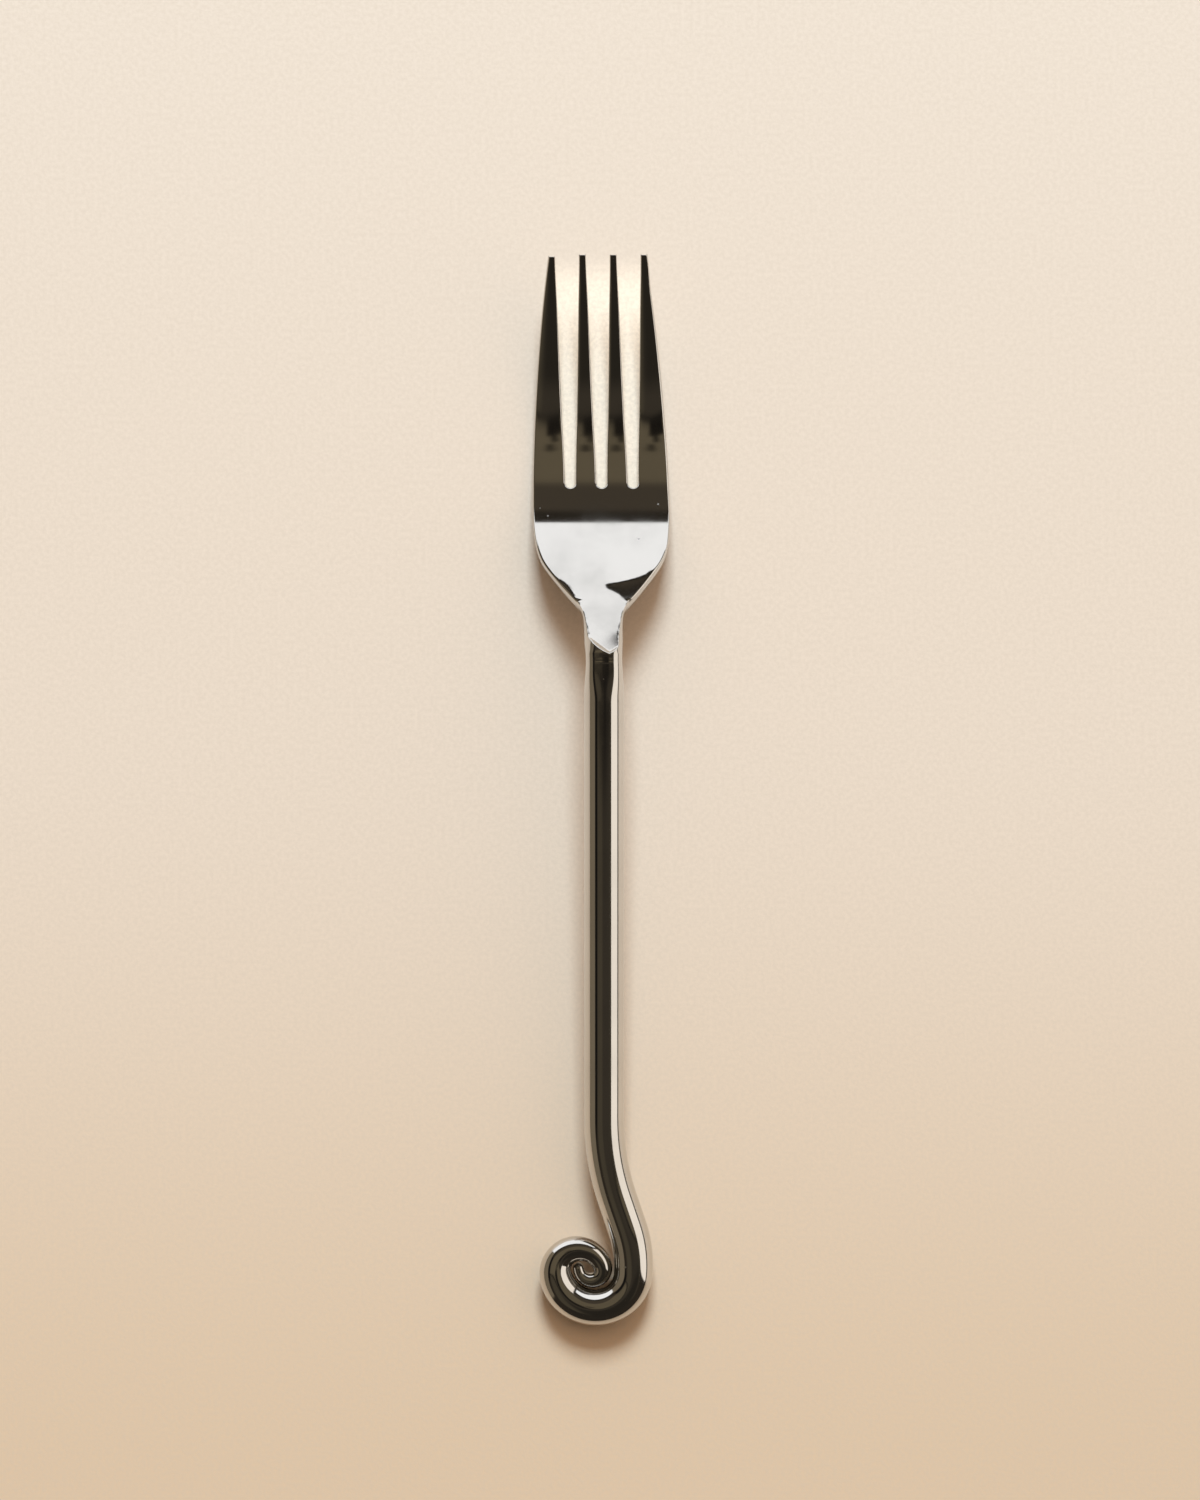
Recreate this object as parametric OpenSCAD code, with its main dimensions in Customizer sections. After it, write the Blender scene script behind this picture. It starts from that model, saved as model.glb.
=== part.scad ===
// Dinner fork: a stamped four-tined head joined to a round bar that ends in a tapering scroll.
// Modelled lying on its back on a table: tines towards +Y, face of the tines upwards.

/* [Head outline] */
// Widest breadth of the palm
head_w = 26.3; // [22:0.1:32]
// Breadth over the four tips
tips_w = 18.55; // [16:0.05:24]
// Breadth of the waist where the neck meets the bar
waist_w = 6.95; // [5.6:0.05:8]
// Distance from the tips back to the widest breadth, along the face
widest_l = 51.3; // [46:0.1:56]
// Distance from the widest breadth back to the waist, along the face
shoulder_l = 30.2; // [24:0.1:36]
// Sideways lean of the head away from the line of the bar, in degrees
lean_angle = 1; // [0:0.05:2]

/* [Head side view] */
// Bend from the bar down to the palm, in degrees
neck_angle = 31.6; // [20:0.1:36]
// Radius of the crest of the neck, along the face
crest_r = 4; // [2:0.5:8]
// Straight stretch of face between crest and bowl
shank_l = 27.3; // [20:0.1:32]
// Radius of the bowl, along the face
bowl_r = 34; // [26:0.5:42]
// Radius of the upward curve of the tines
tine_r = 85; // [60:1:140]
// Length of the upward curve of the tines, along the face
tine_l = 34.6; // [30:0.1:40]
// Straight stretch of neck between the joint and the crest
neck_l = 7.2; // [6:0.1:9]

/* [Plate] */
// Thickness of the palm
palm_t = 2; // [1.4:0.1:2.6]
// Thickness of the tines at their tips
tip_t = 1.2; // [0.8:0.1:1.6]
// Rounding of the upper edge of the plate
face_edge_r = 0.45; // [0.2:0.05:0.6]
// Rounding of the lower edge of the plate
back_edge_r = 0.7; // [0.3:0.05:0.8]
// Rounding of the tips
tip_r = 0.45; // [0.2:0.05:0.5]

/* [Slots] */
// Number of gaps between the tines
slots = 3; // [2:1:3]
// Depth of the slots from the tips, along the face
slot_l = 45.5; // [38:0.1:48]
// Width of a slot at its round end
slot_root_w = 2.3; // [1.6:0.1:3]
// Width of a slot at the tips
slot_tip_w = 4.7; // [3.8:0.05:5]
// Distance between neighbouring slots at their round ends
slot_root_pitch = 6.03; // [5.2:0.01:6.4]
// Distance between neighbouring slots at the tips
slot_tip_pitch = 5.86; // [5.5:0.01:6]
// Distance of the middle slot to the right of the head's centre line
slot_shift = 0.17; // [0:0.01:0.4]

/* [Handle] */
// Diameter of the round bar
bar_d = 7.64; // [6.6:0.02:9]
// Straight stretch of the bar, from the joint to the first bend
bar_l = 80.3; // [60:0.1:110]
// Radius of the first bend, to the right
sway_r = 48.8; // [40:0.1:60]
// Angle of the first bend, in degrees
sway_angle = 18.7; // [12:0.1:22]
// Straight stretch between the first bend and the curl
sway_l = 5.7; // [3:0.1:9]
// Outer width of the curl's widest turn, on its centre line
curl_w = 14.8; // [14.6:0.1:16.4]

/* [Joint] */
// Diameter of the spigot on the head
spigot_d = 4; // [3:0.1:4.6]
// Length of the spigot beyond the neck
spigot_l = 11; // [8:0.5:16]
// Clearance round the spigot in the socket
spigot_gap = 0.05; // [0.03:0.01:0.1]
// Clearance beyond the end of the spigot
socket_end_gap = 0.6; // [0.3:0.1:1.5]
// Width of the ring of filler metal
ring_w = 1.6; // [1:0.1:2]

/* [Hidden] */
steel = "silver";
filler = "gainsboro";

// Fineness of the surfaces
corner_steps = 8;
bar_sides = 32;
round_fn = 96;
face_step = 1.5;
tip_steps = 5;
curl_step_angle = 7;
dome_steps = 5;
dome_angle = 84;
// The skin of the bends is drawn with its flats just outside the true round, and starts inside the
// straight bar, so that the two cross cleanly
skin_share = 1.008;
lead_in_share = 0.95;
overrun = 1;

bar_r = bar_d / 2;
degrees = 180 / PI;

// Outline of the shoulder: shares of shoulder_l against shares of the change in half breadth
shoulder_shares = [[0, 1], [0.1, 0.985], [0.18, 0.955], [0.26, 0.9], [0.33, 0.815], [0.4, 0.68],
    [0.48, 0.5], [0.55, 0.33], [0.62, 0.15], [0.66, 0.08], [0.7, 0.045], [0.77, 0.027],
    [0.87, 0.02], [1, 0]];
// Slot width: shares of slot_l from the round end against shares of the change in width
slot_shares = [[0, 0], [0.15, 0.09], [0.3, 0.31], [0.55, 0.58], [0.75, 0.76], [1, 1]];
// How full the sides of the tines bulge
side_bulge_share = 1.81;
// How late the face rounds over into the bar
round_over_share = 3;
// Half the stretch over which the sections turn with the bend, as a share of the bar's diameter
turn_share = 0.8;

// The curl: radius of each arc as a share of half its width, and the angle it turns
curl_arc_shares = [3.16, 0.945, 1.04, 0.588, 0.69, 0.29, 0.324];
curl_turns = [22, 60, 105, 110, 58.5, 104, 98];
// The bar's taper round the curl: shares of the curl's length against shares of the bar's radius
taper_shares = [[0, 1], [0.153, 0.98], [0.378, 0.935], [0.51, 0.885], [0.602, 0.805], [0.664, 0.71],
    [0.735, 0.63], [0.796, 0.55], [0.868, 0.49], [0.929, 0.38], [1, 0.28]];

function sum(list, i = 0) = i < len(list) ? list[i] + sum(list, i + 1) : 0;
function clamp01(x) = max(0, min(1, x));
function smooth(x) = let (c = clamp01(x)) c * c * (3 - 2 * c);
function mix(a, b, share) = a + (b - a) * share;

// Smooth curve through a table of [place, value] pairs, level at both ends
function slope_at(table, i) = i <= 0 || i >= len(table) - 1 ? 0 :
    (table[i + 1][1] - table[i - 1][1]) / (table[i + 1][0] - table[i - 1][0]);
function table_row(table, x, i = 0) =
    i >= len(table) - 2 || x <= table[i + 1][0] ? i : table_row(table, x, i + 1);
function through(table, x) =
    let (i = table_row(table, x),
        span = table[i + 1][0] - table[i][0],
        s = clamp01((x - table[i][0]) / span),
        s2 = s * s,
        s3 = s2 * s)
    (2 * s3 - 3 * s2 + 1) * table[i][1] + (3 * s2 - 2 * s3) * table[i + 1][1]
    + span * ((s3 - 2 * s2 + s) * slope_at(table, i) + (s3 - s2) * slope_at(table, i + 1));

// The face line in the frame of the bar: the joint is the origin and the bar's axis is Y.
// v is the distance from the joint along the face, u the distance back from the tips.
crest_l = crest_r * neck_angle / degrees;
bowl_l = bowl_r * neck_angle / degrees;
crest_v = neck_l + crest_l;
shank_v = crest_v + shank_l;
bowl_v = shank_v + bowl_l;
face_l = bowl_v + tine_l;

function face_slope(v) =
    v <= neck_l ? 0 :
    v <= crest_v ? -(v - neck_l) / crest_r * degrees :
    v <= shank_v ? -neck_angle :
    v <= bowl_v ? (v - bowl_v) / bowl_r * degrees :
    (v - bowl_v) / tine_r * degrees;

crest_end = [neck_l + crest_r * sin(neck_angle), bar_r - crest_r * (1 - cos(neck_angle))];
shank_end = crest_end + shank_l * [cos(neck_angle), -sin(neck_angle)];
bowl_end = shank_end + bowl_r * [sin(neck_angle), cos(neck_angle) - 1];

function face_point(v) =
    let (a = face_slope(v))
    v <= neck_l ? [v, bar_r] :
    v <= crest_v ? [neck_l - crest_r * sin(a), bar_r - crest_r * (1 - cos(a))] :
    v <= shank_v ? crest_end + (v - crest_v) * [cos(neck_angle), -sin(neck_angle)] :
    v <= bowl_v ? bowl_end + bowl_r * [sin(a), 1 - cos(a)] :
    bowl_end + tine_r * [sin(a), 1 - cos(a)];

// The sections turn over a longer stretch than the face bends in, so that they never cross
crest_middle = neck_l + crest_l / 2;
turn_l = bar_d * turn_share;
function section_slope(v) =
    v >= crest_middle + turn_l ? face_slope(v) :
    -neck_angle * smooth((v - crest_middle + turn_l) / (2 * turn_l));

// Sideways place of the head's centre line, which leaves the bar's line at the crest
function lean_x(v) =
    let (far = max(0, face_point(v)[0] - crest_end[0] / 2))
    -tan(lean_angle) * far * smooth(far / crest_end[0]);

// What the rounding of the tips takes off each side at u
function tip_cut(u) = u >= tip_r ? 0 : tip_r - sqrt(tip_r * tip_r - (tip_r - u) * (tip_r - u));

waist_u = widest_l + shoulder_l;
function half_width(u) =
    u <= widest_l ? mix(tips_w, head_w, 1 - pow(1 - u / widest_l, side_bulge_share)) / 2 :
    u <= waist_u ? mix(waist_w, head_w, through(shoulder_shares, (u - widest_l) / shoulder_l)) / 2 :
    mix(waist_w, bar_d, smooth((u - waist_u) / (face_l - waist_u))) / 2;

swell_u = widest_l + shoulder_l / 3;
function thickness(u) =
    u < tine_l ? mix(tip_t, palm_t, smooth(u / tine_l)) :
    mix(palm_t, bar_d, smooth((u - swell_u) / (face_l - neck_l - swell_u)));

round_over_u = widest_l + shoulder_l / 2;
function face_edge(u) =
    let (share = clamp01((u - round_over_u) / (face_l - neck_l - round_over_u)))
    mix(face_edge_r, bar_r, pow(share, round_over_share));
function back_edge(u) =
    mix(back_edge_r, bar_r, smooth((u - swell_u) / (face_l - neck_l - swell_u)));

// A section across the head as [sideways, depth below the face], with four rounded corners
function quarter(cx, cd, r, from) = [for (i = [0 : corner_steps])
    let (a = from + 90 * i / corner_steps) [cx + r * sin(a), cd - r * cos(a)]];
function section(half, t, top_r, low_r) = concat(
    quarter(half - top_r, top_r, top_r, 0),
    quarter(half - low_r, t - low_r, low_r, 90),
    quarter(low_r - half, t - low_r, low_r, 180),
    quarter(top_r - half, top_r, top_r, 270));

function head_ring(u) =
    let (v = face_l - u,
        p = face_point(v),
        a = section_slope(v),
        cut = tip_cut(u),
        half = half_width(u) - cut,
        t = thickness(u) - 2 * cut,
        top_r = min(face_edge(u), half, t / 2),
        low_r = min(back_edge(u), half, t - top_r),
        x0 = lean_x(v))
    [for (q = section(half, t, top_r, low_r))
        [x0 + q[0], p[0] + (q[1] + cut) * sin(a), p[1] - (q[1] + cut) * cos(a)]];

tip_places = [for (i = [0 : tip_steps]) tip_r * (1 - cos(90 * i / tip_steps))];
face_places = ceil((face_l - tip_r) / face_step);
head_places = concat(tip_places, [for (i = [1 : face_places]) mix(tip_r, face_l, i / face_places)]);
head_rings = [for (u = head_places) head_ring(u)];

// A closed skin over a list of rings that all have the same number of points
module skin(rings) {
    n = len(rings[0]);
    last = len(rings) - 1;
    sides = [for (j = [0 : last - 1], i = [0 : n - 1])
        let (a = j * n + i, b = j * n + (i + 1) % n)
        each [[a, b, b + n], [a, b + n, a + n]]];
    ends = [[for (i = [n - 1 : -1 : 0]) i], [for (i = [0 : n - 1]) last * n + i]];
    polyhedron([for (r = rings) each r], concat(sides, ends), convexity = 8);
}

// Slots, cut straight down; k counts them from the middle
function slot_share(u) = clamp01(1 - u / slot_l);
function slot_x(u, k) =
    lean_x(face_l - u) + slot_shift + k * mix(slot_root_pitch, slot_tip_pitch, slot_share(u));
function slot_half(u) =
    mix(slot_root_w, slot_tip_w, through(slot_shares, slot_share(u))) / 2 + tip_cut(u);
root_u = slot_l - slot_root_w / 2;
slot_places = concat([for (i = [0 : tip_steps]) tip_places[i]],
    [for (i = [1 : face_places]) let (u = i * face_step) if (u > tip_r && u < root_u) u]);

function slot_edge(k, side) = [for (u = slot_places)
    [slot_x(u, k) + side * slot_half(u), face_point(face_l - u)[0]]];
function reversed(list) = [for (i = [len(list) - 1 : -1 : 0]) list[i]];

module slot(k) {
    root = [slot_x(root_u, k), face_point(face_l - root_u)[0]];
    mouth_y = face_point(face_l)[0] + overrun;
    mouth_half = slot_half(0);
    arc = [for (i = [0 : 2 * corner_steps])
        let (a = 180 + 180 * i / (2 * corner_steps)) root + slot_root_w / 2 * [cos(a), sin(a)]];
    outline = concat(
        [[slot_x(0, k) - mouth_half, mouth_y]],
        slot_edge(k, -1),
        arc,
        reversed(slot_edge(k, 1)),
        [[slot_x(0, k) + mouth_half, mouth_y]]);
    drop = shank_l + bar_d;
    translate([0, 0, -drop])
        linear_extrude(height = 2 * drop)
            polygon(outline);
}

// The bar's path in plan as rows of [x, y, heading, length so far], laid out arc by arc
curl_r = curl_w / 2;
curl_radii = [for (share = curl_arc_shares) share * curl_r];
curl_lengths = [for (i = [0 : len(curl_turns) - 1]) curl_radii[i] * curl_turns[i] / degrees];
curl_l = sum(curl_lengths);

function arc_step(p, r, turn) =
    let (half = turn / 2, chord = 2 * r * sin(abs(half)), h = p[2] + half)
    [p[0] + chord * cos(h), p[1] + chord * sin(h), p[2] + turn, p[3] + r * abs(turn) / degrees];
function arc_rows(p, r, turn, n, i = 0) =
    i == n ? [] : let (q = arc_step(p, r, turn / n)) concat([q], arc_rows(q, r, turn, n, i + 1));
function curl_rows(p, i = 0) =
    i == len(curl_turns) ? [] :
    let (rows = arc_rows(p, curl_radii[i], -curl_turns[i], ceil(curl_turns[i] / curl_step_angle)))
    concat(rows, curl_rows(rows[len(rows) - 1], i + 1));

sway_start = [0, -bar_l, -90, -sway_l - sway_r * sway_angle / degrees];
sway_rows = arc_rows(sway_start, sway_r, sway_angle, ceil(sway_angle / curl_step_angle) + 1);
sway_end = sway_rows[len(sway_rows) - 1];
curl_start = [sway_end[0] + sway_l * cos(sway_end[2]), sway_end[1] + sway_l * sin(sway_end[2]),
    sway_end[2], 0];
path = concat([sway_start], sway_rows, [curl_start], curl_rows(curl_start));
path_end = path[len(path) - 1];

function bar_radius(l) = bar_r * through(taper_shares, clamp01(l / curl_l));
end_r = bar_radius(curl_l);
function bar_ring(x, y, heading, r) = [for (i = [0 : bar_sides - 1])
    let (a = 360 * i / bar_sides, side = skin_share * r * cos(a))
    [x + side * sin(heading), y - side * cos(heading), skin_share * r * sin(a)]];

// The bar's end is a dome, closed with a small flat
dome_turns = [for (i = [1 : dome_steps]) dome_angle * i / dome_steps];
dome_rings = [for (a = dome_turns) bar_ring(
    path_end[0] + end_r * sin(a) * cos(path_end[2]),
    path_end[1] + end_r * sin(a) * sin(path_end[2]),
    path_end[2], end_r * cos(a))];
lead_in = bar_ring(0, overrun - bar_l, -90, bar_r * lead_in_share);
bar_rings = concat([lead_in], [for (p = path) bar_ring(p[0], p[1], p[2], bar_radius(p[3]))], dome_rings);

// The fork rests on the back of its bowl and the outermost turn of the curl. Both are round
// in side view, so the table is the line that touches the two circles from below.
low_row = [for (p = path) if (p[1] == min([for (q = path) q[1]])) p][0];
low_r = bar_radius(low_row[3]) * skin_share;
bowl_centre = bowl_end + [0, bowl_r];
back_r = bowl_r + palm_t;
reach = bowl_centre - [low_row[1], 0];
rest_tilt = asin((back_r - low_r) / norm(reach)) - atan2(reach[1], reach[0]);
function settled(p) = [p[0], p[1] * cos(rest_tilt) - p[2] * sin(rest_tilt),
    p[1] * sin(rest_tilt) + p[2] * cos(rest_tilt)];
all_points = [for (r = concat(head_rings, bar_rings), p = r) settled(p)];
function middle(axis) = let (c = [for (p = all_points) p[axis]]) (min(c) + max(c)) / 2;
table_z = settled([0, low_row[1], 0])[2] - low_r;
place = [-middle(0), -middle(1), -table_z];

module settle() {
    translate(place)
        rotate([rest_tilt, 0, 0])
            children();
}

// A cylinder along the bar's axis, from y0 back to y1
module along_bar(r, y0, y1) {
    translate([0, y0, 0])
        rotate([90, 0, 0])
            cylinder(h = y0 - y1, r = r, $fn = round_fn);
}

module head() {
    color(steel) settle() union() {
        difference() {
            skin(head_rings);
            for (i = [0 : slots - 1])
                slot(i - (slots - 1) / 2);
        }
        along_bar(spigot_d / 2, neck_l, -ring_w - spigot_l);
    }
}

module handle() {
    color(steel) settle() difference() {
        union() {
            along_bar(bar_r, -ring_w, -bar_l);
            skin(bar_rings);
        }
        along_bar(spigot_d / 2 + spigot_gap, overrun - ring_w, -ring_w - spigot_l - socket_end_gap);
    }
}

module joint_ring() {
    color(filler) settle() difference() {
        along_bar(bar_r, 0, -ring_w);
        along_bar(spigot_d / 2, overrun, -ring_w - overrun);
    }
}

head();
handle();
joint_ring();
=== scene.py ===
"""Looks of a dinner fork with a scrolled round-bar handle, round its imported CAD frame."""

from math import ceil, cos, exp, hypot, pi, radians, sin, sqrt, tan

import bmesh
import bpy
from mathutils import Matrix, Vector


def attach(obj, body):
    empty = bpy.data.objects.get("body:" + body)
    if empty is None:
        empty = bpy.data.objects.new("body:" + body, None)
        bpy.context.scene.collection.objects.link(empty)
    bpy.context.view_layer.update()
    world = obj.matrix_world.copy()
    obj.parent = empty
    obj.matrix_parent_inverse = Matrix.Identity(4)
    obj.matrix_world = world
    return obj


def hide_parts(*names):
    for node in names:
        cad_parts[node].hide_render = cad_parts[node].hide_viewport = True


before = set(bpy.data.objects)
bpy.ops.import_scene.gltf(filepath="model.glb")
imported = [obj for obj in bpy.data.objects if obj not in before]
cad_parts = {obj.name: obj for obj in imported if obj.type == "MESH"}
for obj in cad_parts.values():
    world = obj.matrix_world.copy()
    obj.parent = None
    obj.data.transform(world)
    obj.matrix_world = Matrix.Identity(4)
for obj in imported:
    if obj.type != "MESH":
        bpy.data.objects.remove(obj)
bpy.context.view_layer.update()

# The fork's measures, in millimetres and radians. They are the CAD source's, apart from the
# slots' length and widths and the tips' rounding, which are set closer to the photo here.
MM = 0.001
head_w, tips_w, waist_w = 26.3, 18.55, 6.95
widest_l, shoulder_l = 51.3, 30.2
neck_angle, lean_angle = radians(31.6), radians(1)
crest_r, shank_l, bowl_r, tine_r, tine_l, neck_l = 4, 27.3, 34, 85, 34.6, 7.2
palm_t, tip_t, face_edge_r, back_edge_r, tip_r = 2, 1.2, 0.45, 0.7, 0.12
slot_l, slot_root_w, slot_tip_w = 45.35, 2.1, 4.5
slot_root_pitch, slot_tip_pitch, slot_shift = 6.03, 5.86, 0.17
bar_r, bar_l, sway_r, sway_angle, sway_l, curl_w = 3.82, 80.3, 48.8, radians(18.7), 5.7, 14.8
ring_w, spigot_r = 1.6, 2
# How the fork lies on the table: its tilt, and where the bar's joint with the head is
rest_tilt = radians(5.00746)
joint_at = Vector((0.530924, 17.5411, 13.7914))

# How the palm narrows over the shoulders, and how the slots widen from root to tip
shoulder_shares = [
    [0, 1], [0.1, 0.985], [0.18, 0.955], [0.26, 0.9], [0.33, 0.815], [0.4, 0.68], [0.48, 0.5],
    [0.55, 0.33], [0.62, 0.15], [0.66, 0.08], [0.7, 0.045], [0.77, 0.027], [0.87, 0.02], [1, 0],
]
slot_shares = [[0, 0], [0.15, 0.09], [0.3, 0.31], [0.55, 0.58], [0.75, 0.76], [1, 1]]
side_bulge_share = 1.81
turn_share = 0.8
# The scroll: the radius of each arc, in halves of its width, how far it turns, in degrees,
# and how thick the bar is along it
curl_arc_shares = [3.16, 0.945, 1.04, 0.588, 0.69, 0.29, 0.324]
curl_turns = [22, 60, 105, 110, 58.5, 104, 98]
taper_shares = [
    [0, 1], [0.153, 0.98], [0.378, 0.935], [0.51, 0.885], [0.602, 0.805], [0.664, 0.71],
    [0.735, 0.63], [0.796, 0.55], [0.868, 0.49], [0.929, 0.38], [1, 0.28],
]


def clamp01(x):
    return max(0.0, min(1.0, x))


def smooth(x):
    c = clamp01(x)
    return c * c * (3 - 2 * c)


def mix(a, b, share):
    return a + (b - a) * share


def through(table, x):
    """A smooth curve through a table of places and values, level at both ends."""
    i = 0
    while i < len(table) - 2 and x > table[i + 1][0]:
        i += 1

    def slope(j):
        if j <= 0 or j >= len(table) - 1:
            return 0
        return (table[j + 1][1] - table[j - 1][1]) / (table[j + 1][0] - table[j - 1][0])

    span = table[i + 1][0] - table[i][0]
    s = clamp01((x - table[i][0]) / span)
    s2, s3 = s * s, s * s * s
    return (
        (2 * s3 - 3 * s2 + 1) * table[i][1]
        + (3 * s2 - 2 * s3) * table[i + 1][1]
        + span * ((s3 - 2 * s2 + s) * slope(i) + (s3 - s2) * slope(i + 1))
    )


# The face line of the head: v is the distance along it from the joint, u the distance along
# it from the tips
crest_v = neck_l + crest_r * neck_angle
shank_v = crest_v + shank_l
bowl_v = shank_v + bowl_r * neck_angle
face_l = bowl_v + tine_l
crest_end = (neck_l + crest_r * sin(neck_angle), bar_r - crest_r * (1 - cos(neck_angle)))
shank_end = (crest_end[0] + shank_l * cos(neck_angle), crest_end[1] - shank_l * sin(neck_angle))
bowl_end = (shank_end[0] + bowl_r * sin(neck_angle), shank_end[1] + bowl_r * (cos(neck_angle) - 1))
waist_u = widest_l + shoulder_l
swell_u = widest_l + shoulder_l / 3
root_u = slot_l - slot_root_w / 2
crest_middle = (neck_l + crest_v) / 2
turn_l = 2 * bar_r * turn_share


def face_slope(v):
    if v <= neck_l:
        return 0.0
    if v <= crest_v:
        return -(v - neck_l) / crest_r
    if v <= shank_v:
        return -neck_angle
    return (v - bowl_v) / (bowl_r if v <= bowl_v else tine_r)


def face_point(v):
    a = face_slope(v)
    if v <= neck_l:
        return v, bar_r
    if v <= crest_v:
        return neck_l - crest_r * sin(a), bar_r - crest_r * (1 - cos(a))
    if v <= shank_v:
        run = v - crest_v
        return crest_end[0] + run * cos(neck_angle), crest_end[1] - run * sin(neck_angle)
    r = bowl_r if v <= bowl_v else tine_r
    return bowl_end[0] + r * sin(a), bowl_end[1] + r * (1 - cos(a))


def section_slope(v):
    """The sections turn over a longer stretch than the face line, so that none cross."""
    if v >= crest_middle + turn_l:
        return face_slope(v)
    return -neck_angle * smooth((v - crest_middle + turn_l) / (2 * turn_l))


def lean_x(v):
    far = max(0, face_point(v)[0] - crest_end[0] / 2)
    return -tan(lean_angle) * far * smooth(far / crest_end[0])


def tip_cut(u):
    return rounding(u, tip_r)


def half_width(u):
    if u <= widest_l:
        return mix(tips_w, head_w, 1 - (1 - u / widest_l) ** side_bulge_share) / 2
    if u <= waist_u:
        return mix(waist_w, head_w, through(shoulder_shares, (u - widest_l) / shoulder_l)) / 2
    return mix(waist_w, 2 * bar_r, smooth((u - waist_u) / (face_l - waist_u))) / 2


def swell(u):
    return smooth((u - swell_u) / (face_l - neck_l - swell_u))


def thickness(u):
    if u < tine_l:
        return mix(tip_t, palm_t, smooth(u / tine_l))
    return mix(palm_t, 2 * bar_r, swell(u))


def back_edge(u):
    return mix(back_edge_r, bar_r, swell(u))


def rounding(d, r):
    """How deep a rounded edge of radius r lies at d from its rim."""
    return 0 if d >= r else r - sqrt(max(0, r * r - (r - max(0, d)) ** 2))


def slot_x(u, k):
    return slot_shift + k * mix(slot_root_pitch, slot_tip_pitch, clamp01(1 - u / slot_l))


def slot_half(u):
    share = through(slot_shares, clamp01(1 - u / slot_l))
    return mix(slot_root_w, slot_tip_w, share) / 2 + tip_cut(u)


def settled(x, y, z):
    """A point given from the joint along the bar, as it lies on the table, in metres."""
    c, s = cos(rest_tilt), sin(rest_tilt)
    return (joint_at + Vector((x, y * c - z * s, y * s + z * c))) * MM


# Meshes


def numbered_grid(columns, rows):
    """A flat grid of faces whose vertices know their column and row."""
    bm = bmesh.new()
    column = bm.verts.layers.int.new("column")
    row = bm.verts.layers.int.new("row")
    bmesh.ops.create_grid(bm, x_segments=columns, y_segments=rows, size=1)
    for v in bm.verts:
        v[column] = round((v.co.x + 1) / 2 * columns)
        v[row] = round((v.co.y + 1) / 2 * rows)
    return bm, column, row


# Vertices nearer than MERGED and faces smaller than COLLAPSED, in metres, are cleaned away
MERGED, COLLAPSED = 2e-7, 1e-8
crease_angle = radians(50)
ROUND_SIDES = 96


def finished_piece(name, bm, material):
    """Closes a mesh, makes it an object on the root body and gives it its finish."""
    bmesh.ops.remove_doubles(bm, verts=bm.verts, dist=MERGED)
    bmesh.ops.dissolve_degenerate(bm, edges=bm.edges, dist=COLLAPSED)
    open_edges = [e for e in bm.edges if e.is_boundary]
    if open_edges:
        bmesh.ops.holes_fill(bm, edges=open_edges, sides=0)
    bmesh.ops.recalc_face_normals(bm, faces=bm.faces)
    for f in bm.faces:
        f.smooth = True
    for e in bm.edges:
        e.smooth = e.calc_face_angle(0) < crease_angle
    mesh = bpy.data.meshes.new(name)
    bm.to_mesh(mesh)
    bm.free()
    mesh.materials.append(material)
    piece = bpy.data.objects.new(name, mesh)
    bpy.context.scene.collection.objects.link(piece)
    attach(piece, "root")
    return piece


# The head. Its grid has strips for each rounded edge, each tine between its edges and each
# slot. An edge strip has ARC columns round the edge and one at each place in HELD behind it.
ARC, HELD = 6, (0.07, 0.25)
EDGE = ARC + len(HELD)
FLAT, ROOT = 4, 12
TINE = 2 * EDGE + FLAT
PERIOD = TINE + ROOT
COLUMNS = 4 * TINE + 3 * ROOT
# Rows round the corners of the tips, then along the tines in these steps, then at these
# places behind the slots' round ends, and on towards the joint, as far as each v in its steps
CORNER_ROWS = 4
tip_end_u, tip_step, tine_step = 1, 0.2, 0.7
palm_places = (0.03, 0.1, 0.2, 0.32, 0.48, 0.7, 0.95, 1.25, 1.6, 2)
neck_steps = ((30, 0.45), (19, 0.22), (12.5, 0.3), (6, 0.12), (0, 0.4))
# A distance past anything that an edge's rounding reaches
FAR = 9
slot_face_r, slot_back_r = 0.32, 0.45
# The share of half a tine that an edge may take, and the room past it that HELD needs
edge_room_share, held_room = 0.8, 0.6
# The tips: their corners, how much shorter the left tine is, how far the right one reaches
# to the side and over which length, how far all reach out and over which length, and the
# length over which their ends turn upright
tip_corner_r, short_tine, wide_tip, wide_l = 0.13, 0.38, 0.36, 8
tip_reach, reach_l, upright_l = 0.17, 12, 4
# The columns leave the slots' round ends over fade_l, and stand evenly round the bar past
# even_u
fade_l, even_u, even_l = 6, 76, 6
# How much of a tine's width its face falls at its sides, and where this ends
outer_crown_share, inner_crown_share, crown_u, crown_l = 0.04, 0.024, 28, 15


def row_steps(rows, end, step):
    """Adds even rows as far as end, at most a step apart."""
    start = rows[-1]
    n = ceil((end - start) / step)
    rows += [mix(start, end, i / n) for i in range(1, n + 1)]


def head_rows():
    turns = [pi / 2 * i / CORNER_ROWS for i in range(CORNER_ROWS + 1)]
    rows = [tip_corner_r * (1 - cos(a)) for a in turns]
    row_steps(rows, tip_end_u, tip_step)
    row_steps(rows, root_u, tine_step)
    root_row = len(rows) - 1
    rows += [root_u + d for d in palm_places]
    for v, step in neck_steps:
        row_steps(rows, face_l - v, step)
    return rows, root_row


def corner_cut(u):
    return rounding(u, tip_corner_r)


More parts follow.
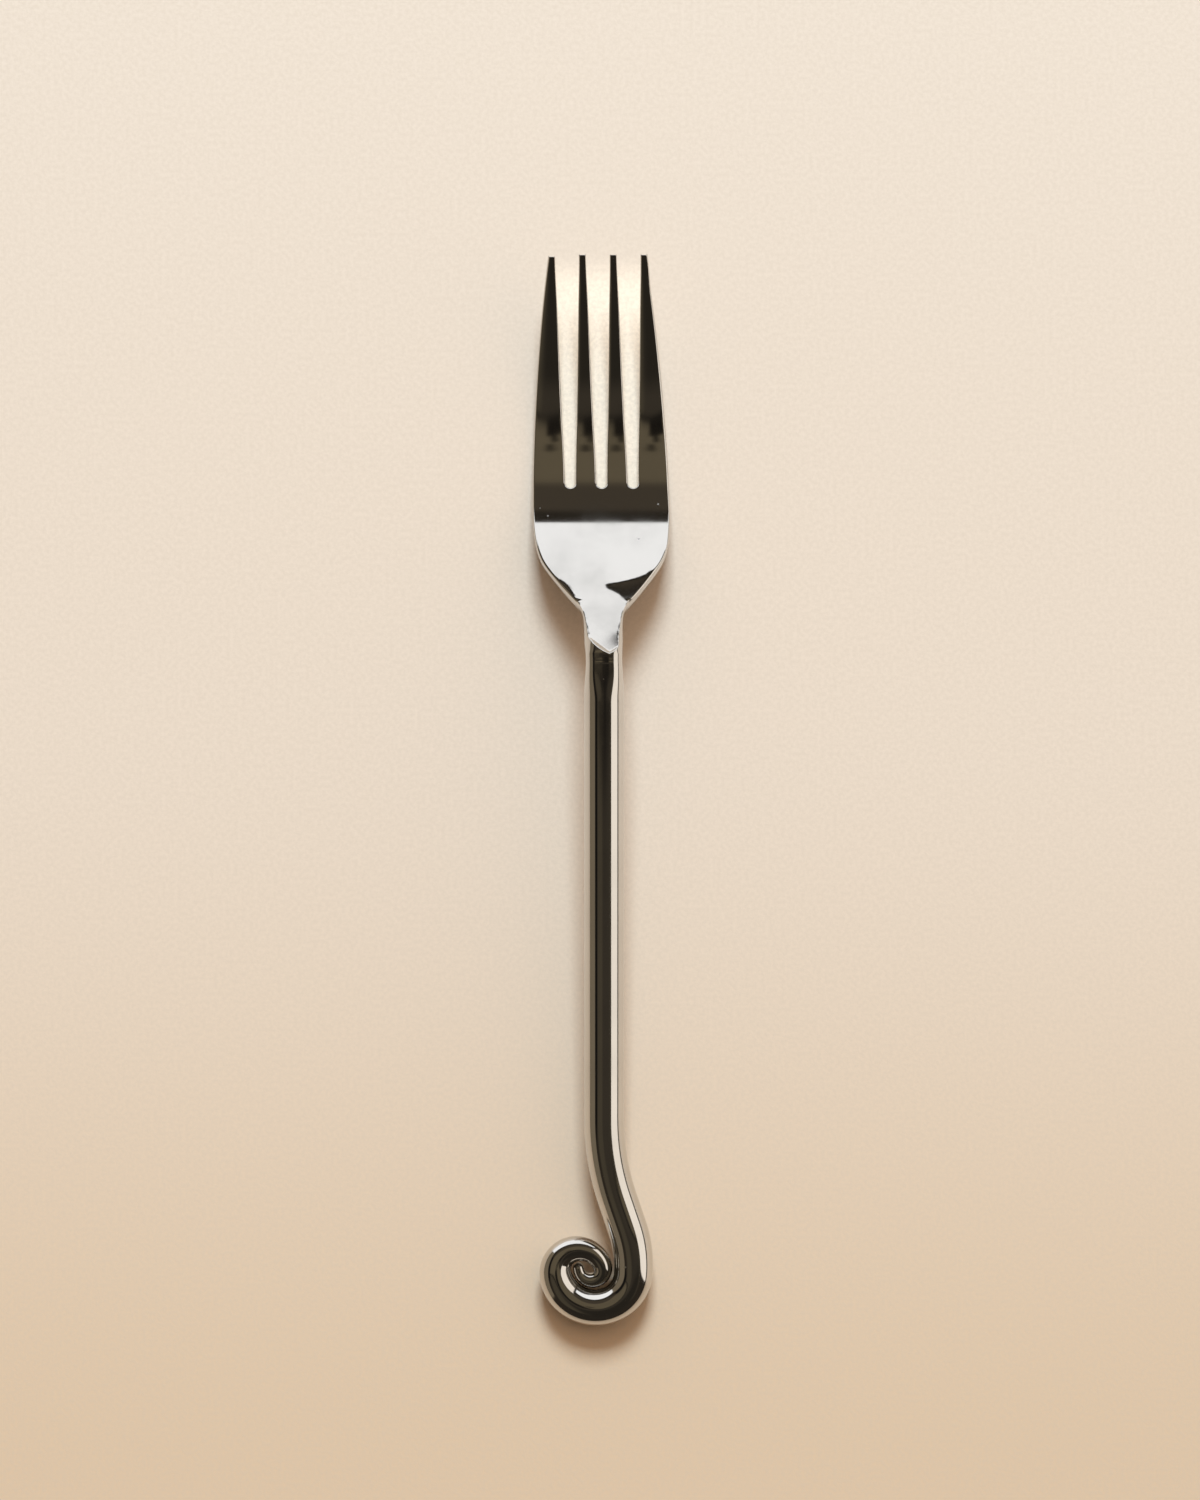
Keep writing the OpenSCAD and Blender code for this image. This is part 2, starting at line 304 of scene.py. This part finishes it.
def tine_sides(t, u):
    """The left and the right side of tine t, counted from the left."""
    widen = tip_cut(u) - corner_cut(u)
    left = corner_cut(u) - half_width(u) if t == 0 else slot_x(u, t - 2) + slot_half(u) - widen
    right = slot_x(u, t - 1) - slot_half(u) + widen
    if t == 3:
        right = half_width(u) - corner_cut(u) + wide_tip * (1 - smooth(u / wide_l))
    return left, right


def edge_place(k, r, room):
    """How far from a rim the k-th column of an edge strip lies, the edge being rounded to r."""
    if k <= ARC:
        return r * (1 - cos(pi / 2 * k / ARC))
    return r + HELD[k - ARC - 1] * clamp01((room - r) / held_room)


def across_tine(t, k, u):
    left, right = tine_sides(t, u)
    room = (right - left) / 2
    edge = min(face_edge_r, edge_room_share * room)
    if k <= EDGE:
        return left + edge_place(k, edge, room)
    if k >= TINE - EDGE:
        return right - edge_place(TINE - k, edge, room)
    inset = edge_place(EDGE, edge, room)
    return mix(left + inset, right - inset, (k - EDGE) / FLAT)


def root_place(c):
    """Where a column starts at the slots' round ends, and how far behind root_u."""
    t, k = divmod(c, PERIOD)
    if k <= TINE:
        return across_tine(t, k, root_u), 0
    a = pi * (k - TINE) / ROOT
    r = slot_root_w / 2
    return slot_x(root_u, t - 1) - r * cos(a), r * sin(a)


def root_share(c):
    x, back = root_place(c)
    flat = half_width(root_u + back) - edge_place(EDGE, face_edge_r, FAR)
    return (x + flat) / (2 * flat)


root_shares = [root_share(c) for c in range(COLUMNS + 1)]
root_backs = [root_place(c)[1] for c in range(COLUMNS + 1)]


def across_palm(c, u):
    """How far to the side a column lies behind the slots; round the bar they are even."""
    half = half_width(u)
    inset = edge_place(EDGE, face_edge_r, FAR)
    if c <= EDGE:
        kept = edge_place(c, face_edge_r, FAR) - half
    elif c >= COLUMNS - EDGE:
        kept = half - edge_place(COLUMNS - c, face_edge_r, FAR)
    else:
        kept = (2 * root_shares[c] - 1) * (half - inset)
    return mix(kept, -half * cos(pi * c / COLUMNS), smooth((u - even_u) / even_l))


def tine_crown(t, x, left, right, u):
    """How far the face of a tine falls away from its middle towards its sides."""
    across = (2 * x - left - right) / (right - left)
    share = outer_crown_share if t in (0, 3) else inner_crown_share
    return share * (right - left) * across * across * (1 - smooth((u - crown_u) / crown_l))


def joined(a, b, blend):
    """The greater of two depths, with the crease between them eased."""
    near = max(0, blend - abs(a - b)) / blend
    return max(a, b) + near * near * blend / 4


# The neck: the flat face cuts a tongue out of the round bar. The depth of the bar's widest
# line under the face, and how far the tongue rolls to the right, along v.
widest_depths = [
    [0, 4], [6.5, 3.8], [7.2, 3.51], [7.7, 3.453], [8.3, 3.325], [8.85, 3.127], [9.4, 2.88],
    [10.4, 2.68], [12.6, 2.3], [14.35, 2.02], [16.5, 1.6], [18.65, 1.2], [21, 1.1], [90, 1.1],
]
tongue_rolls = [[0, 0], [8, 0], [9.8, 0.022], [14, 0], [20, 0], [90, 0]]
# The tongue's tip, x and v, the slopes of its sides, and where its rims become the palm's
tongue_tip, tongue_sides = (1.05, 9.6), (0.845, 0.7)
shoulder_v, plate_v = 18.65, 21
# The notch ground into the right shoulder: its soft start and its ridge, v over x
notch_starts = [[0.6, 23], [2.9, 21.9], [4.3, 20.6], [5.6, 21.2], [8.7, 22.5], [12, 26]]
notch_ridges = [[0.6, 24.06], [5.6, 24.9], [8.7, 26.2], [11.4, 29], [13, 32]]
notch_rise, notch_end_v, notch_x, notch_side_l = 0.07, 35.5, 0.1, 1.6
# The left shoulder's softer rim: how much, where and over which length
soft_rim, soft_rim_v, soft_rim_l = 0.5, 23.2, 1.8
# The bar is a little squarer at the neck: by how much, and where this comes and goes
squarer, squarer_l, rounder_v, rounder_l = 0.7, 6, 9, 4
# The crease round the tongue is eased by this depth, and stays sharp on the palm
eased_crease, sharp_v, sharp_l, sharp_crease = 0.11, 17, 3, 1e-6


def notch(x, v):
    start, ridge = through(notch_starts, x), through(notch_ridges, x)
    high = notch_rise * (ridge - start) * smooth((x - notch_x) / notch_side_l)
    if v <= ridge:
        return high * clamp01((v - start) / (ridge - start)) ** 1.5
    return high * (1 - smooth((v - ridge) / (notch_end_v - ridge))) ** 2


def neck_depth(x, v, half, edge_r):
    """The depth of the face behind the slots: flat, with its rims rounded to edge_r, then the
    round bar with the tongue cut in it."""
    rim = half - abs(x)
    if x < 0:
        edge_r += soft_rim * exp(-(((v - soft_rim_v) / soft_rim_l) ** 2))
    r = mix(half, edge_r, smooth((v - shoulder_v) / (plate_v - shoulder_v)))
    middle = min(r, through(widest_depths, v))
    power = 2 + squarer * smooth(v / squarer_l) * (1 - smooth((v - rounder_v) / rounder_l))
    across = max(0, (r - min(rim, r)) / r)
    bar = middle - r * max(0, 1 - across**power) ** (1 / power)
    aside = x - tongue_tip[0]
    tongue_v = tongue_tip[1] + max(-tongue_sides[0] * aside, tongue_sides[1] * aside)
    flat = through(tongue_rolls, v) * x - tan(neck_angle) * max(0, tongue_v - v)
    crease = sharp_crease + eased_crease * (1 - smooth((v - sharp_v) / sharp_l))
    return joined(flat, bar, crease) - notch(x, v)


def head_point(c, row, back, rows, root_row):
    """Where a column and a row of the head's grid meet, on its face or its back."""
    u = rows[row]
    t, k = divmod(c, PERIOD)
    in_tine = row <= root_row and k <= TINE
    cut = tip_cut(u)
    if in_tine:
        left, right = tine_sides(t, u)
        x = across_tine(t, k, u)
        room = (right - left) / 2
        full = thickness(u) - 2 * cut
    else:
        u = u + root_backs[c] * (1 - smooth((u - root_u) / fade_l))
        room = half_width(u)
        full = thickness(u)
    face_r = min(face_edge_r, room, full / 2)
    back_r = min(back_edge(u), room, full - face_r)
    slot_r = min(slot_face_r, room, full / 2)
    rim_r = face_r
    if back:
        rim_r, slot_r = back_r, min(slot_back_r, room, full - slot_r)
    if in_tine:
        gaps = [x - left if t > 0 else FAR, right - x if t < 3 else FAR]
        rims = [x - left if t == 0 else FAR, right - x if t == 3 else FAR]
    else:
        x = root_place(c)[0] if row <= root_row else across_palm(c, u)
        gaps = [hypot(x - slot_x(root_u, k), u - root_u) - slot_root_w / 2 for k in (-1, 0, 1)]
        rims = [x + room, room - x]
    v = face_l - u
    depth = cut + rounding(min(gaps), slot_r)
    if back or in_tine:
        depth += rounding(min(rims), rim_r)
    else:
        depth += neck_depth(x, v, room, face_r)
    if in_tine and not back:
        depth += tine_crown(t, x, left, right, u)
    if in_tine:
        v += (tip_reach - (short_tine if t == 0 else 0)) * (1 - smooth(u / reach_l))
    a = section_slope(v)
    if back:
        depth = thickness(u) - depth
        # the ends of the tines stand upright as the fork lies
        v -= depth * tan(a + rest_tilt) * (1 - smooth(u / upright_l)) if in_tine else 0
    y, z = face_point(v)
    return settled(x + lean_x(v), y + depth * sin(a), z - depth * cos(a))


def make_head(material):
    rows, root_row = head_rows()
    bm, column, row = numbered_grid(COLUMNS, len(rows) - 1)
    gaps = []
    for f in bm.faces:
        c = min(v[column] for v in f.verts) % PERIOD
        if c >= TINE and min(v[row] for v in f.verts) < root_row:
            gaps.append(f)
    bmesh.ops.delete(bm, geom=gaps, context="FACES")
    layer = bm.verts.layers.int.new("back")
    made = bmesh.ops.extrude_face_region(bm, geom=bm.faces[:], use_keep_orig=True)
    for v in made["geom"]:
        if isinstance(v, bmesh.types.BMVert):
            v[layer] = 1
    for v in bm.verts:
        v.co = head_point(v[column], v[row], v[layer], rows, root_row)
    head = finished_piece("fork_head", bm, material)
    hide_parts("head")
    return head


# The handle: a round section swept along the bar's centre line. The steps along its straight
# part, its bends, which start bend_room early, and its curl, then the rows of its round end.
straight_step, bend_step, curl_step, least_step, bend_room = 2.0, 0.7, 0.35, 1e-6, 4
END_ROWS = 8


def bar_path():
    """Rows of x, y, heading and length along the curl, every step of the bar's centre line."""
    bends = [(bar_l - ring_w, 0), (sway_r * sway_angle, 1 / sway_r), (sway_l, 0)]
    for share, turn in zip(curl_arc_shares, curl_turns):
        r = share * curl_w / 2
        bends.append((r * radians(turn), -1 / r))
    total = sum(b[0] for b in bends)

    def heading(s):
        h = -pi / 2
        for length, curve in bends:
            h += max(0, min(length, s)) * curve
            s -= length
        return h

    def eased(s, reach=1.0, n=8):
        return sum(heading(s + reach * (2 * i / n - 1)) for i in range(n + 1)) / (n + 1)

    x, y, s = 0.0, -ring_w, 0.0
    before_curl = sum(b[0] for b in bends[:3])
    rows = [(x, y, eased(0), -before_curl)]
    bends_start = bar_l - ring_w - bend_room
    while s < total - least_step:
        step = straight_step if s < bends_start else bend_step
        if s >= before_curl:
            step = curl_step
        step = min(step, total - s)
        h = eased(s + step / 2)
        x, y, s = x + step * cos(h), y + step * sin(h), s + step
        rows.append((x, y, eased(s), s - before_curl))
    return rows, total - before_curl


def make_handle(material):
    path, curl_l = bar_path()
    rings = []
    for x, y, h, s in path:
        rings.append((x, y, h, bar_r * through(taper_shares, clamp01(s / curl_l))))
    x, y, h, end_r = rings[-1]
    for i in range(1, END_ROWS + 1):
        a = pi / 2 * i / END_ROWS
        rings.append((x + end_r * sin(a) * cos(h), y + end_r * sin(a) * sin(h), h, end_r * cos(a)))
    bm, column, row = numbered_grid(ROUND_SIDES, len(rings) - 1)
    for v in bm.verts:
        x, y, h, r = rings[v[row]]
        a = 2 * pi * v[column] / ROUND_SIDES
        side = r * cos(a)
        v.co = settled(x + side * sin(h), y - side * cos(h), r * sin(a))
    handle = finished_piece("fork_handle", bm, material)
    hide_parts("handle")
    return handle


def make_joint_ring(material):
    """The filler metal between the two shoulders, flush with the bar, round the spigot."""
    outline = [
        (spigot_r, 0), (bar_r, 0), (bar_r, -ring_w / 2), (bar_r, -ring_w), (spigot_r, -ring_w),
    ]
    bm, column, row = numbered_grid(ROUND_SIDES, len(outline))
    for v in bm.verts:
        r, y = outline[v[row] % len(outline)]
        a = 2 * pi * v[column] / ROUND_SIDES
        v.co = settled(r * cos(a), y, r * sin(a))
    ring = finished_piece("fork_joint_ring", bm, material)
    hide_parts("joint_ring")
    return ring


# Materials


class Nodes:
    """Short ways to add and join the nodes of one material or world."""

    def __init__(self, tree):
        self.tree = tree
        tree.nodes.clear()

    def add(self, kind, values=None, **settings):
        node = self.tree.nodes.new(kind)
        for name, value in settings.items():
            setattr(node, name, value)
        for name, value in (values or {}).items():
            self.set(node.inputs[name], value)
        return node

    def set(self, socket, value):
        if isinstance(value, bpy.types.NodeSocket):
            self.tree.links.new(value, socket)
        else:
            socket.default_value = value

    def math(self, operation, a, b=0.0, c=0.0, clamp=False):
        node = self.add("ShaderNodeMath", {0: a, 1: b, 2: c}, operation=operation, use_clamp=clamp)
        return node.outputs[0]

    def step(self, value, low, high, a=0.0, b=1.0):
        """Goes smoothly from a to b as value goes from low to high."""
        values = {"Value": value, "From Min": low, "From Max": high, "To Min": a, "To Max": b}
        node = self.add("ShaderNodeMapRange", values, interpolation_type="SMOOTHSTEP")
        return node.outputs["Result"]

    def blend(self, share, a, b):
        node = self.add("ShaderNodeMix", data_type="RGBA")
        self.set(node.inputs["Factor"], share)
        self.set(node.inputs["A"], a)
        self.set(node.inputs["B"], b)
        return node.outputs["Result"]

    def noise(self, place, scale, detail=2.0, roughness=0.5, stretch=(1, 1, 1), turn=0.0):
        mapped = self.add(
            "ShaderNodeMapping", {"Vector": place, "Scale": stretch, "Rotation": (0, 0, turn)}
        )
        values = {"Vector": mapped.outputs[0], "Scale": scale, "Detail": detail}
        node = self.add("ShaderNodeTexNoise", {**values, "Roughness": roughness})
        return node.outputs["Fac"]


# The steel's colour, how much of it is left under haze, and the colour of a dull speck
steel_tint, hazed_share, speck_grey = (0.66, 0.64, 0.61, 1), 0.94, (0.85, 0.85, 0.85, 1)
# The roughness of clean steel, and how much haze, hairlines and specks add to it
steel_rough, haze_rough, hair_rough, speck_rough = 0.07, 0.05, 0.05, 0.4
# How fine the smudges, hairlines along and aslant, specks and waves are, to the metre
smudge_scale, along_scale, slant_scale, speck_scale, wave_scale = 90, 260, 300, 420.0, 55
# How the hairlines are stretched and turned
along_stretch, along_turn, slant_stretch, slant_turn = (9, 0.35, 9), 0.12, (0.5, 8, 8), 0.5
# From where to where in its pattern each of them fades in or out
haze_limits, along_limits, slant_limits, slant_share = (0.35, 0.75), (0.66, 0.78), (0.7, 0.82), 0.7
speck_limits, speck_choice = (0.05, 0.13), (0.965, 0.97)
# How high the polish waves and how deep the hairlines are, in metres, and how strongly
wave_height, hair_depth, wave_strength, hair_strength = 0.00004, 0.000002, 0.35, 0.3
# Dull spots on the palm and the neck: x, y and radius, in millimetres on the table
dull_spots = [
    (-11.78, 54.43, 0.16), (-10.24, 52.9, 0.14), (10.88, 55.2, 0.24), (0.41, 21.44, 0.14),
]


def polished_steel(name):
    """Mirror-polished stainless steel with faint smudges, hairlines and a few dull specks."""
    material = bpy.data.materials.new(name)
    material.use_nodes = True
    n = Nodes(material.node_tree)
    place = n.add("ShaderNodeTexCoord").outputs["Object"]
    smudge = n.noise(place, smudge_scale, 4, 0.6)
    haze = n.step(smudge, *haze_limits)
    along = n.noise(place, along_scale, 3, 0.7, along_stretch, along_turn)
    slant = n.noise(place, slant_scale, 2, 0.7, slant_stretch, slant_turn)
    along_hairs = n.step(along, *along_limits)
    slant_hairs = n.math("MULTIPLY", n.step(slant, *slant_limits), slant_share)
    hairs = n.math("MAXIMUM", along_hairs, slant_hairs)
    dots = n.add("ShaderNodeTexVoronoi", {"Vector": place, "Scale": speck_scale}, feature="F1")
    chosen = n.add("ShaderNodeSeparateColor", {"Color": dots.outputs["Color"]}).outputs[0]
    speck = n.math(
        "MULTIPLY",
        n.step(dots.outputs["Distance"], *speck_limits, 1.0, 0.0),
        n.step(chosen, *speck_choice),
    )
    x, y = n.add("ShaderNodeSeparateXYZ", {"Vector": place}).outputs[:2]
    for spot_x, spot_y, spot_r in dull_spots:
        across, up = n.math("SUBTRACT", x, spot_x * MM), n.math("SUBTRACT", y, spot_y * MM)
        far = n.math("MULTIPLY_ADD", across, across, n.math("MULTIPLY", up, up))
        spot = n.step(far, 0.0, (spot_r * MM) ** 2, 1.0, 0.0)
        speck = n.math("MAXIMUM", speck, spot)
    roughness = n.math("MULTIPLY_ADD", haze, haze_rough, steel_rough)
    roughness = n.math("MULTIPLY_ADD", hairs, hair_rough, roughness)
    roughness = n.math("MULTIPLY_ADD", speck, speck_rough, roughness, clamp=True)
    hazed_tint = tuple(hazed_share * c for c in steel_tint[:3]) + (1,)
    colour = n.blend(haze, steel_tint, hazed_tint)
    colour = n.blend(speck, colour, speck_grey)
    wave = n.noise(place, wave_scale, 1, 0.4)
    waves = {"Height": wave, "Strength": wave_strength, "Distance": wave_height}
    bump = n.add("ShaderNodeBump", waves)
    lines = {"Height": hairs, "Strength": hair_strength, "Distance": hair_depth}
    lines["Normal"] = bump.outputs[0]
    fine = n.add("ShaderNodeBump", lines, invert=True)
    shader = n.add(
        "ShaderNodeBsdfPrincipled",
        {"Base Color": colour, "Roughness": roughness, "Metallic": 1.0, "Normal": fine.outputs[0]},
    )
    n.add("ShaderNodeOutputMaterial", {"Surface": shader.outputs[0]})
    return material


# The table's colours: lighter at the tips and darker and warmer at the scroll, a painted falloff
# of the softbox's light; a painted patch of light between the tines; and its grain
painted_bright_tips_table, painted_mid_middle_table = (0.755, 0.652, 0.55, 1), (0.755, 0.638, 0.525, 1)
painted_dim_scroll_table, painted_light_table = (0.689, 0.522, 0.36, 1), (1, 0.86, 0.7, 1)
grain_table = (0.6, 0.5, 0.4, 1)
# Along y, and for the sides along x, in metres: from where to where the painted falloff of light
# changes the colours and the painted patch of light between the tines fades
painted_falloff_tips_to_middle, painted_falloff_middle_to_scroll = (0.2, 0.0), (0.02, -0.14)
painted_patch_sides, painted_patch_start, painted_patch_end = (0.0082, 0.0094), (0.046, 0.052), (0.096, 0.104)
# The table's roughness, and how fine, how clear and, in metres, how high its grain is
table_rough, grain_scale, grain_limits, grain_share = 0.35, 1300, (0.25, 0.75), 0.34
grain_strength, grain_height = 0.2, 0.0001


def table_top():
    """A warm off-white table, fine-grained, with painted light: lighter at the tips, darker and
    warmer towards the scroll, and a painted patch of light between the tines.
    """
    material = bpy.data.materials.new("table_top")
    material.use_nodes = True
    n = Nodes(material.node_tree)
    place = n.add("ShaderNodeTexCoord").outputs["Object"]
    x, y = n.add("ShaderNodeSeparateXYZ", {"Vector": place}).outputs[:2]
    # painted falloff of the softbox's light: lighter at the tips, darker and warmer towards the
    # scroll
    colour = n.blend(n.step(y, *painted_falloff_tips_to_middle), painted_bright_tips_table, painted_mid_middle_table)
    colour = n.blend(n.step(y, *painted_falloff_middle_to_scroll), colour, painted_dim_scroll_table)
    # painted light between the tines, standing in for the light that their bright sides throw on
    # the table
    within = n.step(n.math("ABSOLUTE", x), *painted_patch_sides, 1.0, 0.0)
    painted_share = n.math("MULTIPLY", within, n.step(y, *painted_patch_start))
    painted_share = n.math("MULTIPLY", painted_share, n.step(y, *painted_patch_end, 1.0, 0.0))
    colour = n.blend(painted_share, colour, painted_light_table)
    grain = n.noise(place, grain_scale, 2, 0.6)
    colour = n.blend(n.step(grain, *grain_limits, 0.0, grain_share), colour, grain_table)
    grains = {"Height": grain, "Strength": grain_strength, "Distance": grain_height}
    bump = n.add("ShaderNodeBump", grains)
    shader = n.add(
        "ShaderNodeBsdfPrincipled",
        {"Base Color": colour, "Roughness": table_rough, "Normal": bump.outputs[0]},
    )
    n.add("ShaderNodeOutputMaterial", {"Surface": shader.outputs[0]})
    return material


# The studio. The room's colour between its panels, the soft light that the table gets from
# it, dim and bright, and the pale backdrop past the table's end.
room_colour, backdrop_colour = (0.032, 0.025, 0.018, 1), (0.6, 0.52, 0.43, 1)
dim_soft, bright_soft = (0.1, 0.075, 0.054, 1), (1.17, 0.88, 0.65, 1)
# The soft light is brighter towards the wall and, by this share, towards the right, between
# these limits
rightward_share, soft_limits = 0.4, (-0.3, 0.5)
# A ray that heads away from a screen counts as heading towards it by this little
behind = 0.0001


def make_world():
    """A dim room round a white wall: what the polished steel mirrors."""
    world = bpy.data.worlds.new("studio")
    bpy.context.scene.world = world
    world.use_nodes = True
    n = Nodes(world.node_tree)
    ray = n.add("ShaderNodeTexCoord").outputs["Generated"]
    xyz = n.add("ShaderNodeSeparateXYZ", {"Vector": ray})
    x, y, z = xyz.outputs
    ahead = n.math("DEGREES", n.math("ARCTAN2", y, z))
    aside = n.math("DEGREES", n.math("ARCTAN2", x, z))

    def between(value, low, high, edge=1.0):
        share = n.step(value, low - edge, low + edge)
        return n.math("MULTIPLY", share, n.step(value, high - edge, high + edge, 1.0, 0.0))

    def overhead(back, front, left, right, edge=1.0):
        """A patch of the ceiling, in degrees from straight up: towards +Y, then towards +X."""
        share = between(ahead, back, front, edge)
        return n.math("MULTIPLY", share, between(aside, left, right, 3 * edge))

    def facing(azimuth):
        a = radians(azimuth)
        return n.math("MULTIPLY_ADD", x, sin(a), n.math("MULTIPLY", y, cos(a)))

    def screen(azimuth, low, high, left, right, edge=0.02):
        """A flat upright screen: its middle direction, then its limits in degrees."""
        out = n.math("MAXIMUM", facing(azimuth), behind)
        up = n.math("DIVIDE", z, out)
        side = n.math("DIVIDE", facing(azimuth + 90), out)
        share = n.step(up, tan(radians(low)) - edge, tan(radians(low)) + edge)
        for value, limit in ((up, high), (side, right)):
            t = tan(radians(limit))
            share = n.math("MULTIPLY", share, n.step(value, t - edge, t + edge, 1.0, 0.0))
        t = tan(radians(left))
        return n.math("MULTIPLY", share, n.step(side, t - edge, t + edge))

    colour = room_colour
    layers = [
        # the ceiling, olive overhead and darker towards the wall
        (overhead(-90, 52, -39, 40, 2.0), (0.028, 0.023, 0.017, 1)),
        (overhead(-9, 45, -39, 40, 2.5), (0.066, 0.053, 0.038, 1)),
        (overhead(-9, 26, -39, 40, 4.0), (0.139, 0.113, 0.073, 1)),
        # the dim ceiling over the scroll, then its darkest patches, almost straight overhead
        (overhead(-45, -8, -39, 40, 2.0), (0.075, 0.062, 0.042, 1)),
        (overhead(-60, -9, -10, 34, 1.0), (0.05, 0.041, 0.03, 1)),
        (overhead(-60, -18, -11, 36, 3.0), (0.026, 0.022, 0.0165, 1)),
        (overhead(-10.4, -8.6, -40, 40, 0.5), (0.014, 0.012, 0.01, 1)),
        (overhead(-9, -3.6, -2, 12, 0.7), (0.012, 0.01, 0.008, 1)),
        (overhead(-3.8, 0.5, 1, 4.5, 0.6), (0.022, 0.018, 0.013, 1)),
        (overhead(1.5, 6, -1.5, 1.5, 0.6), (0.022, 0.018, 0.013, 1)),
        # the left wall under a dark beam, and the bright wall on the right
        (screen(-90, 0, 35, -40, 40, 0.05), (0.21, 0.17, 0.117, 1)),
        (screen(-85, 38, 50, -25, 25), (0.01, 0.009, 0.008, 1)),
        (screen(80, 7.5, 50, -30, 32), (1.2, 1.1, 0.98, 1)),
        (screen(0, -2, 36.9, -52, 45, 0.004), (1.27, 1.29, 1.32, 1)),
    ]
    for share, paint in layers:
        colour = n.blend(share, colour, paint)
    side = n.step(n.math("MULTIPLY_ADD", x, rightward_share, y), *soft_limits)
    soft = n.blend(side, dim_soft, bright_soft)
    path = n.add("ShaderNodeLightPath")
    colour = n.blend(path.outputs["Is Diffuse Ray"], colour, soft)
    colour = n.blend(path.outputs["Is Camera Ray"], colour, backdrop_colour)
    light = n.add("ShaderNodeBackground", {"Color": colour, "Strength": 1.0})
    n.add("ShaderNodeOutputWorld", {"Surface": light.outputs[0]})


# The softbox: its place, its width and height, in metres, and its light
key_place, key_size = (0.05, 1.87, 1.62), (0.8, 0.7)
key_radiance, key_colour = 31.6, (0.8, 1, 1.15)


def make_softbox(name, centre, size, radiance, colour):
    """A softbox aimed at the fork and kept out of what the steel mirrors."""
    lamp = bpy.data.lights.new(name, "AREA")
    lamp.shape = "RECTANGLE"
    lamp.size, lamp.size_y = size
    # an area lamp shines with a quarter of its power, spread over its area
    lamp.energy = 4 * radiance * size[0] * size[1]
    lamp.color = colour
    softbox = bpy.data.objects.new(name, lamp)
    softbox.location = centre
    softbox.rotation_euler = (-softbox.location).to_track_quat("-Z", "Y").to_euler()
    softbox.visible_glossy = False
    bpy.context.scene.collection.objects.link(softbox)


# In metres
floor_half_w = 6


def make_floor():
    bm = bmesh.new()
    bmesh.ops.create_grid(bm, x_segments=1, y_segments=1, size=floor_half_w)
    mesh = bpy.data.meshes.new("floor")
    bm.to_mesh(mesh)
    bm.free()
    mesh.materials.append(table_top())
    floor = bpy.data.objects.new("floor", mesh)
    bpy.context.scene.collection.objects.link(floor)


# The camera's sensor and lens, in millimetres, and its place, in metres
sensor_w, lens_l = 36, 124.64
camera_place = (-0.000257, 0.008031, 1.0)


def make_camera():
    """Straight above, 1 m over the table, where the frame is 288.8 mm high."""
    data = bpy.data.cameras.new("camera")
    data.sensor_width = sensor_w
    data.lens = lens_l
    camera = bpy.data.objects.new("camera", data)
    camera.location = camera_place
    bpy.context.scene.collection.objects.link(camera)
    bpy.context.scene.camera = camera


steel = polished_steel("polished_steel")
filler = polished_steel("filler_metal")
make_head(steel)
make_handle(steel)
make_joint_ring(filler)
make_floor()
make_world()
make_softbox("key", key_place, key_size, key_radiance, key_colour)
make_camera()
bpy.context.scene.view_settings.view_transform = "Standard"
